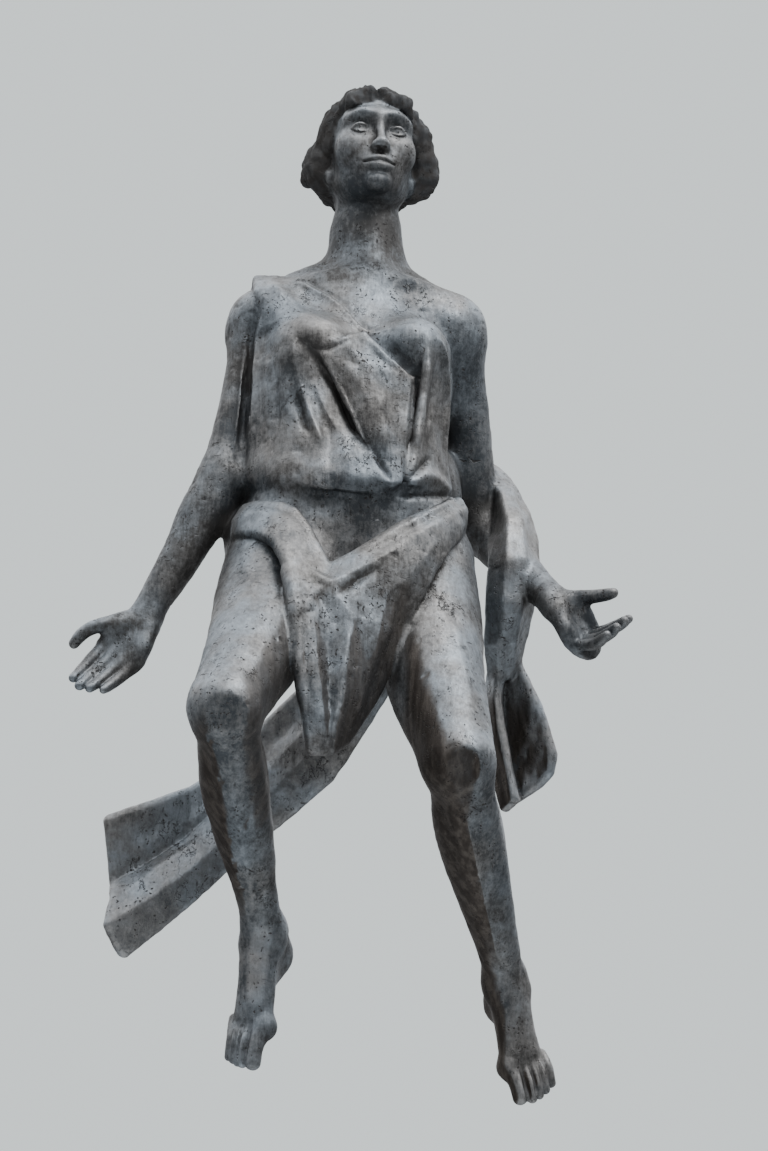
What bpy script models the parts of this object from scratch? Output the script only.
"""A life-size cast figure that hangs on a wall: one piece, modelled from a skeleton of landmarks.

Frame: +X is the figure's left, -Y its front, +Z up. The origin is the middle of the flat back pad.
Rough forms are laid over each other as in clay, then fused, smoothed and thinned to one solid.
"""
import bmesh
import bpy
import numpy as np
from mathutils import Matrix, Vector


def at(*p):
    return np.array(p, float)


# Skeleton, in metres. Pairs are keyed by side: -1 is the figure's right, 1 its left.
RIGHT, LEFT = -1, 1
SIDES = (RIGHT, LEFT)
HEAD = at(0.014, -0.122, 0.468)
NECK_LOW, NECK_HIGH = at(0.018, -0.108, 0.215), at(0.014, -0.104, 0.395)
SHOULDER = {RIGHT: at(-0.158, -0.105, 0.138), LEFT: at(0.164, -0.105, 0.158)}
ELBOW = {RIGHT: at(-0.218, -0.112, -0.152), LEFT: at(0.238, 0.000, -0.165)}
WRIST = {RIGHT: at(-0.337, -0.098, -0.417), LEFT: at(0.345, -0.128, -0.345)}
HIP = {RIGHT: at(-0.096, -0.125, -0.325), LEFT: at(0.096, -0.125, -0.325)}
KNEE = {RIGHT: at(-0.223, -0.352, -0.652), LEFT: at(0.154, -0.312, -0.698)}
ANKLE = {RIGHT: at(-0.119, -0.066, -0.927), LEFT: at(0.280, -0.044, -0.975)}

# Directions: toes and the top of the foot, fingers and the palm
FOOT = {RIGHT: (at(-0.34, -0.08, -0.94), at(-0.62, -0.72, 0.20)),
        LEFT: (at(0.31, -0.16, -0.94), at(0.16, -0.92, 0.10))}
HAND = {RIGHT: (at(-0.494, -0.039, -0.867), at(-0.10, -0.98, 0.11)),
        LEFT: (at(0.62, 0.04, -0.78), at(0.40, -0.88, 0.26))}
# How far each finger has turned towards the palm at its three joints, in degrees, index first
FINGER_TURN = {RIGHT: ((6, 18, 26), (10, 24, 32), (12, 26, 36), (12, 28, 40)),
               LEFT: ((88, 94, 98), (78, 108, 122), (56, 118, 138), (40, 118, 142))}

PHALANX_SHARES = (0.46, 0.31, 0.23)

# Flat pad on the middle of the back, its outer face on y = 0
PAD_WIDTH, PAD_HEIGHT, PAD_DEPTH = 0.120, 0.160, 0.060

# How the forms become one skin
GRAIN = 0.0045
SMOOTHING_ROUNDS = 5
SHARE_KEPT = 0.0255
RING_SIDES = 14
CURVE_STEPS = 4

BRONZE_GREY = (0.115, 0.118, 0.122, 1.0)


def unit(v):
    return v / max(np.linalg.norm(v), 1e-9)


def between(a, b, share):
    return a + (b - a) * share


def square_axes(forward, up):
    """Forward, up made square to it, and their cross."""
    f = unit(forward)
    u = unit(up - f * (up @ f))
    return f, u, np.cross(f, u)


def smooth_curve(rows):
    """Rows of numbers along a Catmull-Rom curve through the given rows."""
    p = np.asarray(rows, float)
    p = np.vstack([2 * p[0] - p[1], p, 2 * p[-1] - p[-2]])
    out = []
    for a, b, c, d in zip(p, p[1:], p[2:], p[3:]):
        for t in np.arange(CURVE_STEPS) / CURVE_STEPS:
            out.append(0.5 * (2 * b + (c - a) * t + (2 * a - 5 * b + 4 * c - d) * t**2
                              + (3 * b - a - 3 * c + d) * t**3))
    return np.array(out + [p[-2]])


class Clay:
    """Overlapping closed forms in one bmesh."""

    def __init__(self):
        self.bm = bmesh.new()

    def egg(self, centre, radii, tilt=None):
        size = Matrix.Diagonal((*radii, 1.0))
        turn = (tilt or Matrix.Identity(3)).to_4x4()
        matrix = Matrix.Translation(Vector(centre)) @ turn @ size
        bmesh.ops.create_icosphere(self.bm, subdivisions=3, radius=1.0, matrix=matrix)

    def limb(self, *stations, flat=1.0, normal=(0, 1, 0)):
        """A round-ended tube. A station is (point, radius); flat squashes it along the normal."""
        flats = np.broadcast_to(np.asarray(flat, float), (len(stations),))
        rows = smooth_curve([(*p, r, f) for (p, r), f in zip(stations, flats)])
        ends = ((0, (-0.95, -0.6), (0.31, 0.8)), (-1, (0.6, 0.95), (0.8, 0.31)))
        slices = [(row, 0.0, 1.0) for row in rows]
        slices = ([(rows[0], s, w) for s, w in zip(*ends[0][1:])] + slices
                  + [(rows[-1], s, w) for s, w in zip(*ends[1][1:])])
        centres = rows[:, :3]
        tangents = np.gradient(centres, axis=0)
        angles = np.linspace(0, 2 * np.pi, RING_SIDES, endpoint=False)
        rings = []
        for i, (row, shift, width) in enumerate(slices):
            k = min(max(i - 2, 0), len(rows) - 1)
            along, up, side = square_axes(tangents[k], np.asarray(normal, float))
            middle = row[:3] + along * shift * row[3] * min(row[4], 1.0)
            ring = [self.bm.verts.new(middle + row[3] * width * (side * c + up * s * row[4]))
                    for c, s in zip(np.cos(angles), np.sin(angles))]
            rings.append(ring)
        for a, b in zip(rings, rings[1:]):
            for j in range(RING_SIDES):
                k = (j + 1) % RING_SIDES
                self.bm.faces.new((a[j], a[k], b[k], b[j]))
        self.bm.faces.new(rings[0][::-1])
        self.bm.faces.new(rings[-1])

    def sheet(self, lines, half):
        """A slab of cloth between fold lines that all have the same number of points."""
        grid = np.asarray(lines, float)
        normals = np.cross(np.gradient(grid, axis=0), np.gradient(grid, axis=1))
        normals /= np.linalg.norm(normals, axis=2, keepdims=True)
        rows, columns = grid.shape[:2]
        front = [[self.bm.verts.new(p) for p in line] for line in grid + normals * half]
        back = [[self.bm.verts.new(p) for p in line] for line in grid - normals * half]
        for i in range(rows - 1):
            for j in range(columns - 1):
                self.bm.faces.new((front[i][j], front[i + 1][j], front[i + 1][j + 1], front[i][j + 1]))
                self.bm.faces.new((back[i][j], back[i][j + 1], back[i + 1][j + 1], back[i + 1][j]))
        rim = ([(0, j) for j in range(columns)] + [(i, columns - 1) for i in range(1, rows)]
               + [(rows - 1, j) for j in range(columns - 2, -1, -1)] + [(i, 0) for i in range(rows - 2, 0, -1)])
        for (i, j), (k, m) in zip(rim, rim[1:] + rim[:1]):
            self.bm.faces.new((front[i][j], front[k][m], back[k][m], back[i][j]))

    def mesh(self, name):
        bmesh.ops.recalc_face_normals(self.bm, faces=self.bm.faces[:])
        mesh = bpy.data.meshes.new(name)
        self.bm.to_mesh(mesh)
        self.bm.free()
        return mesh


def trunk(clay):
    clay.egg((0.0, -0.114, 0.045), (0.156, 0.095, 0.180))
    clay.egg((-0.004, -0.118, -0.100), (0.146, 0.094, 0.150))
    clay.egg((-0.003, -0.114, -0.275), (0.178, 0.104, 0.120))
    clay.limb((NECK_LOW, 0.060), (between(NECK_LOW, NECK_HIGH, 0.5), 0.055), (NECK_HIGH, 0.056))
    clay.limb((NECK_HIGH + at(0, 0.010, -0.070), 0.048), (at(0.014, -0.080, 0.240), 0.056), (at(0.006, -0.078, 0.150), 0.062))
    clay.egg((0.010, -0.084, 0.200), (0.125, 0.046, 0.058))
    for s in SIDES:
        shoulder = SHOULDER[s]
        clay.egg((s * 0.078, -0.074, 0.090), (0.070, 0.052, 0.098))
        clay.limb((at(0.0, -0.100, 0.155), 0.070), (between(at(0, -0.100, 0.160), shoulder, 0.6), 0.064),
                  (shoulder - at(0, 0, 0.008), 0.054))
        clay.limb((NECK_HIGH + at(s * 0.010, 0.020, -0.060), 0.038), (at(0.018 + s * 0.054, -0.086, 0.256), 0.036),
                  (at(0.010 + s * 0.106, -0.092, 0.202), 0.039), (shoulder - at(s * 0.012, 0, -0.004), 0.044))
        clay.egg((0.002 + s * 0.080, -0.190, 0.066), (0.064, 0.062, 0.062))


def arm(clay, s):
    shoulder, elbow, wrist = SHOULDER[s], ELBOW[s], WRIST[s]
    clay.egg(shoulder + at(s * 0.003, 0, -0.025), (0.047, 0.050, 0.072))
    clay.limb((shoulder, 0.046), (between(shoulder, elbow, 0.3), 0.045), (between(shoulder, elbow, 0.62), 0.041),
              (elbow, 0.036))
    clay.limb((elbow, 0.036), (between(elbow, wrist, 0.22) + at(s * 0.004, 0, 0), 0.042),
              (between(elbow, wrist, 0.55), 0.036), (wrist, 0.028), flat=(1.0, 1.0, 1.0, 0.8))


def hand(clay, s):
    along, palm, side = square_axes(*HAND[s])
    thumb_side = -s * side
    wrist = WRIST[s]

    def spot(reach, rise, spread):
        return wrist + along * reach + palm * rise + thumb_side * spread

    clay.limb((spot(-0.010, 0, 0), 0.028), (spot(0.030, 0.002, 0.002), 0.036), (spot(0.070, 0, 0), 0.040),
              flat=(0.76, 0.56, 0.38), normal=palm)
    clay.egg(spot(0.030, 0.012, 0.026), (0.020, 0.018, 0.022))
    fingers = ((0.030, 0.080, 0.0105), (0.0105, 0.086, 0.0108), (-0.0090, 0.082, 0.0102), (-0.0275, 0.068, 0.0092))
    for (spread, reach, radius), turns in zip(fingers, FINGER_TURN[s]):
        point = spot(0.070, 0, spread)
        stations = [(point - along * 0.012, radius + 0.001)]
        for turn, share in zip(np.radians(turns), PHALANX_SHARES):
            stations.append((point, radius + 0.001))
            point = point + reach * share * (along * np.cos(turn) + palm * np.sin(turn))
        clay.limb(*stations, (point, radius - 0.001))
    thumb = {RIGHT: ((0.017, 0.008, 0.024), (0.052, 0.022, 0.052), (0.074, 0.022, 0.066), (0.097, 0.014, 0.072)),
             LEFT: ((0.004, 0.010, 0.024), (0.021, 0.037, 0.037), (0.033, 0.056, 0.045), (0.041, 0.072, 0.050))}
    clay.limb(*((spot(*p), r) for p, r in zip(thumb[s], (0.017, 0.0135, 0.0115, 0.0095))))


def leg(clay, s):
    hip, knee, ankle = HIP[s], KNEE[s], ANKLE[s]
    outward = at(s * 0.012, 0, 0)
    clay.limb((hip + outward + at(0, 0, 0.030), 0.100), (between(hip, knee, 0.25) + outward, 0.091),
              (between(hip, knee, 0.55), 0.081), (between(hip, knee, 0.85), 0.068), (knee, 0.061))
    shin = unit(ankle - knee)
    back = unit(at(0, 1, 0) - shin * shin[1])
    clay.limb((knee + back * 0.008, 0.053), (between(knee, ankle, 0.14) + back * 0.012, 0.051),
              (between(knee, ankle, 0.32) + back * 0.020, 0.056), (between(knee, ankle, 0.55) + back * 0.014, 0.048),
              (between(knee, ankle, 0.80) + back * 0.004, 0.035), (ankle, 0.034))
    clay.egg(knee - back * 0.030, (0.037, 0.031, 0.040))


def foot(clay, s):
    toes, top, side = square_axes(*FOOT[s])
    inner = side if side[0] * s < 0 else -side

    def spot(reach, rise, spread):
        return ANKLE[s] + toes * reach + top * rise + inner * spread

    for spread in (-0.022, 0.024):
        clay.egg(spot(0.010, -0.004, spread), (0.014, 0.014, 0.014))
    clay.limb((spot(-0.030, -0.018, 0), 0.020), (spot(-0.006, -0.040, 0), 0.026), (spot(0.020, -0.050, 0), 0.027),
              (spot(0.050, -0.040, 0), 0.024))
    clay.limb((spot(-0.010, 0, 0), 0.035), (spot(0.035, -0.008, 0.002), 0.033), (spot(0.075, -0.020, 0.006), 0.032),
              (spot(0.125, -0.036, 0.004), 0.036), (spot(0.150, -0.040, 0.002), 0.034),
              flat=(1.0, 0.95, 0.85, 0.56, 0.45), normal=top)
    clay.limb((spot(0.130, -0.038, 0.026), 0.017), (spot(0.184, -0.043, 0.023), 0.0145))
    for i in range(4):
        spread = 0.0070 - 0.0130 * i
        clay.limb((spot(0.120 - 0.006 * i, -0.036, spread), 0.0125),
                  (spot(0.181 - 0.003 * i - 0.002 * i * i, -0.043, spread * 1.1), 0.0110 - 0.0007 * i))


def head(clay):
    def spot(x, y, z):
        return HEAD + at(x, y, z)

    clay.egg(spot(0, 0.010, 0.038), (0.074, 0.094, 0.078))
    clay.egg(spot(0, -0.028, -0.022), (0.061, 0.063, 0.088))
    clay.egg(spot(0, -0.054, -0.078), (0.031, 0.030, 0.028))
    clay.limb((spot(0, -0.082, 0.022), 0.009), (spot(0, -0.088, 0.002), 0.009), (spot(0, -0.098, -0.032), 0.011))
    clay.limb((spot(-0.020, -0.080, -0.064), 0.007), (spot(0, -0.086, -0.064), 0.009),
              (spot(0.020, -0.080, -0.064), 0.007))
    for s in SIDES:
        clay.limb((spot(s * 0.054, 0.010, -0.045), 0.018), (spot(s * 0.044, -0.016, -0.074), 0.018),
                  (spot(s * 0.018, -0.050, -0.088), 0.016))
        clay.limb((spot(s * 0.008, -0.088, 0.022), 0.009), (spot(s * 0.052, -0.064, 0.018), 0.009))


def hair(clay):
    """A bob with a middle parting, its two front locks rolled back over the forehead."""
    def spot(x, y, z):
        return HEAD + at(x, y, z)

    clay.egg(spot(0, 0.018, 0.034), (0.080, 0.094, 0.080))
    clay.egg(spot(0, 0.050, -0.008), (0.096, 0.070, 0.090))
    for s in SIDES:
        clay.limb((spot(s * 0.014, -0.036, 0.086), 0.024), (spot(s * 0.046, -0.032, 0.072), 0.028),
                  (spot(s * 0.070, -0.014, 0.038), 0.030), (spot(s * 0.083, 0.006, -0.004), 0.029),
                  (spot(s * 0.084, 0.014, -0.042), 0.026), (spot(s * 0.074, 0.022, -0.062), 0.019))
        clay.limb((spot(s * 0.004, -0.066, 0.074), 0.015), (spot(s * 0.030, -0.068, 0.070), 0.016),
                  (spot(s * 0.048, -0.052, 0.058), 0.014))


def tunic(clay):
    """The tunic over the right shoulder, bloused over the waist."""
    clay.egg((-0.004, -0.124, 0.030), (0.162, 0.107, 0.155))
    clay.egg((-0.004, -0.090, 0.000), (0.135, 0.083, 0.180))
    for x in (-0.088, 0.072):
        clay.limb(((x, -0.125, 0.050), 0.072), ((x, -0.130, -0.070), 0.073), ((x * 1.05, -0.132, -0.155), 0.082),
                  flat=1.22)
    clay.egg((0.006, -0.160, -0.170), (0.122, 0.098, 0.064))
    clay.limb(((-0.165, -0.100, -0.150), 0.024), ((-0.145, -0.175, -0.158), 0.026), ((-0.090, -0.215, -0.185), 0.028),
              ((0.000, -0.238, -0.206), 0.028), ((0.075, -0.225, -0.185), 0.022))
    clay.limb(((-0.162, -0.070, -0.150), 0.026), ((-0.080, -0.040, -0.165), 0.034), ((0.080, -0.040, -0.165), 0.034),
              ((0.156, -0.070, -0.150), 0.026))
    clay.limb(((-0.120, -0.205, 0.090), 0.032), ((-0.128, -0.165, 0.165), 0.034), ((-0.132, -0.105, 0.198), 0.034),
              ((-0.120, -0.060, 0.165), 0.034), ((-0.105, -0.050, 0.080), 0.036))
    fold_lines = (((-0.036, -0.225, 0.060), (0.000, -0.222, -0.040), (0.052, -0.238, -0.165)),
                  ((0.112, -0.205, 0.070), (0.104, -0.195, -0.020), (0.092, -0.200, -0.115)),
                  ((-0.128, -0.190, 0.090), (-0.124, -0.190, -0.030), (-0.105, -0.200, -0.150)))
    for line in fold_lines:
        clay.limb(*((p, 0.013) for p in line))


def hip_wrap(clay):
    """Cloth rolled round the hips into a V, with a panel hanging between the thighs."""
    clay.limb(((-0.160, -0.080, -0.245), 0.042), ((-0.080, -0.058, -0.255), 0.050), ((0.080, -0.058, -0.255), 0.050),
              ((0.158, -0.080, -0.240), 0.042))
    for s in SIDES:
        clay.egg((s * 0.078, -0.078, -0.330), (0.092, 0.074, 0.088))
    clay.limb(((-0.172, -0.085, -0.235), 0.031), ((-0.170, -0.160, -0.232), 0.027), ((-0.135, -0.205, -0.240), 0.025),
              ((-0.080, -0.250, -0.325), 0.021), ((-0.058, -0.262, -0.370), 0.019))
    clay.limb(((-0.178, -0.085, -0.270), 0.031), ((-0.172, -0.165, -0.275), 0.029), ((-0.145, -0.215, -0.290), 0.027),
              ((-0.108, -0.285, -0.400), 0.023), ((-0.096, -0.318, -0.550), 0.016), ((-0.082, -0.316, -0.640), 0.012))
    clay.limb(((0.168, -0.095, -0.190), 0.029), ((0.168, -0.160, -0.200), 0.028), ((0.120, -0.220, -0.245), 0.027),
              ((0.015, -0.262, -0.335), 0.026), ((-0.045, -0.272, -0.380), 0.023))
    clay.limb(((0.172, -0.110, -0.225), 0.026), ((0.160, -0.178, -0.238), 0.026), ((0.115, -0.235, -0.305), 0.027),
              ((0.040, -0.275, -0.430), 0.025), ((0.010, -0.285, -0.500), 0.022))
    right_edge = ((-0.126, -0.275, -0.363), (-0.105, -0.312, -0.533), (-0.085, -0.315, -0.635), (-0.076, -0.310, -0.690))
    right_hollow = ((-0.075, -0.262, -0.380), (-0.068, -0.292, -0.540), (-0.062, -0.300, -0.635),
                    (-0.066, -0.303, -0.686))
    middle_ridge = ((-0.010, -0.285, -0.360), (-0.024, -0.310, -0.530), (-0.039, -0.310, -0.630),
                    (-0.052, -0.306, -0.682))
    left_hollow = ((0.040, -0.262, -0.360), (0.010, -0.275, -0.540), (-0.018, -0.285, -0.630), (-0.040, -0.293, -0.672))
    left_edge = ((0.085, -0.235, -0.370), (0.030, -0.258, -0.555), (-0.004, -0.276, -0.620), (-0.028, -0.288, -0.660))
    clay.sheet((right_edge, right_hollow, middle_ridge, left_hollow, left_edge), 0.015)
    clay.limb(((-0.030, -0.200, -0.360), 0.070), ((-0.020, -0.235, -0.460), 0.056), ((-0.040, -0.265, -0.560), 0.034),
              flat=(0.9, 0.75, 0.65))


def tail(clay):
    """The band of cloth that flies out behind the right leg."""
    top = ((-0.363, 0.050, -0.712), (-0.231, 0.045, -0.655), (-0.171, 0.020, -0.594), (-0.097, -0.010, -0.508),
           (-0.004, -0.100, -0.421), (0.050, -0.080, -0.345))
    hollow = ((-0.349, 0.085, -0.790), (-0.242, 0.070, -0.712), (-0.170, 0.045, -0.645), (-0.085, 0.010, -0.550),
              (0.010, -0.085, -0.455), (0.066, -0.075, -0.375))
    ridge = ((-0.356, 0.025, -0.882), (-0.241, 0.010, -0.778), (-0.163, -0.005, -0.680), (-0.060, -0.040, -0.585),
             (0.040, -0.115, -0.472), (0.095, -0.110, -0.405))
    low = ((-0.332, 0.060, -0.928), (-0.228, 0.045, -0.832), (-0.137, 0.022, -0.736), (-0.016, -0.030, -0.632),
           (0.063, -0.100, -0.500), (0.115, -0.110, -0.440))
    clay.sheet((top, hollow, ridge, low), 0.014)


def elbow_cloth(clay):
    """The end of the cloth, looped over the left elbow and hanging behind the hip."""
    clay.limb(((0.246, 0.045, -0.030), 0.022), ((0.268, 0.018, -0.085), 0.033), ((0.285, -0.018, -0.165), 0.043),
              ((0.285, -0.026, -0.220), 0.044), ((0.281, -0.020, -0.300), 0.040), ((0.283, -0.004, -0.420), 0.026),
              flat=(0.8, 1.0, 1.25, 1.2, 0.9, 0.8))
    outer = ((0.302, 0.000, -0.415), (0.346, 0.000, -0.509), (0.360, 0.004, -0.560), (0.358, 0.006, -0.585))
    hollow = ((0.293, 0.014, -0.415), (0.322, 0.022, -0.510), (0.336, 0.028, -0.570), (0.338, 0.030, -0.604))
    ridge = ((0.283, -0.010, -0.415), (0.300, -0.012, -0.510), (0.310, -0.008, -0.590), (0.313, -0.006, -0.626))
    inner_hollow = ((0.274, 0.012, -0.420), (0.284, 0.020, -0.510), (0.292, 0.026, -0.600), (0.296, 0.028, -0.640))
    inner = ((0.266, -0.004, -0.420), (0.268, 0.000, -0.510), (0.270, 0.006, -0.600), (0.272, 0.010, -0.648))
    clay.sheet((outer, hollow, ridge, inner_hollow, inner), 0.012)


def cast_metal():
    material = bpy.data.materials.new("cast_metal")
    material.use_nodes = True
    shader = material.node_tree.nodes["Principled BSDF"]
    shader.inputs["Base Color"].default_value = BRONZE_GREY
    shader.inputs["Metallic"].default_value = 0.8
    shader.inputs["Roughness"].default_value = 0.5
    return material


def back_pad():
    """The block that is joined on to give the back its true flat face."""
    bm = bmesh.new()
    size = Matrix.Diagonal((PAD_WIDTH, PAD_DEPTH, PAD_HEIGHT, 1.0))
    bmesh.ops.create_cube(bm, size=1.0, matrix=Matrix.Translation((0, -PAD_DEPTH / 2, 0)) @ size)
    upright_edges = [e for e in bm.edges if abs(e.verts[0].co.y - e.verts[1].co.y) > PAD_DEPTH / 2]
    bmesh.ops.bevel(bm, geom=upright_edges, offset=0.02, segments=2, profile=0.5, affect="EDGES")
    mesh = bpy.data.meshes.new("back_pad_block")
    bm.to_mesh(mesh)
    bm.free()
    pad = bpy.data.objects.new("back_pad_block", mesh)
    pad.hide_render = True
    pad.display_type = "WIRE"
    bpy.context.scene.collection.objects.link(pad)
    return pad


def figure():
    clay = Clay()
    trunk(clay)
    tunic(clay)
    hip_wrap(clay)
    tail(clay)
    elbow_cloth(clay)
    for s in SIDES:
        arm(clay, s)
        hand(clay, s)
        leg(clay, s)
        foot(clay, s)
    head(clay)
    hair(clay)
    body = bpy.data.objects.new("figure", clay.mesh("figure"))
    bpy.context.scene.collection.objects.link(body)
    body.data.materials.append(cast_metal())
    fuse = body.modifiers.new("fuse", "REMESH")
    fuse.mode = "VOXEL"
    fuse.voxel_size = GRAIN
    smooth = body.modifiers.new("smooth", "SMOOTH")
    smooth.factor = 0.5
    smooth.iterations = SMOOTHING_ROUNDS
    thin = body.modifiers.new("thin", "DECIMATE")
    thin.ratio = SHARE_KEPT
    pad = body.modifiers.new("pad", "BOOLEAN")
    pad.operation = "UNION"
    pad.solver = "EXACT"
    pad.object = back_pad()


for old in list(bpy.data.objects):
    bpy.data.objects.remove(old)
figure()
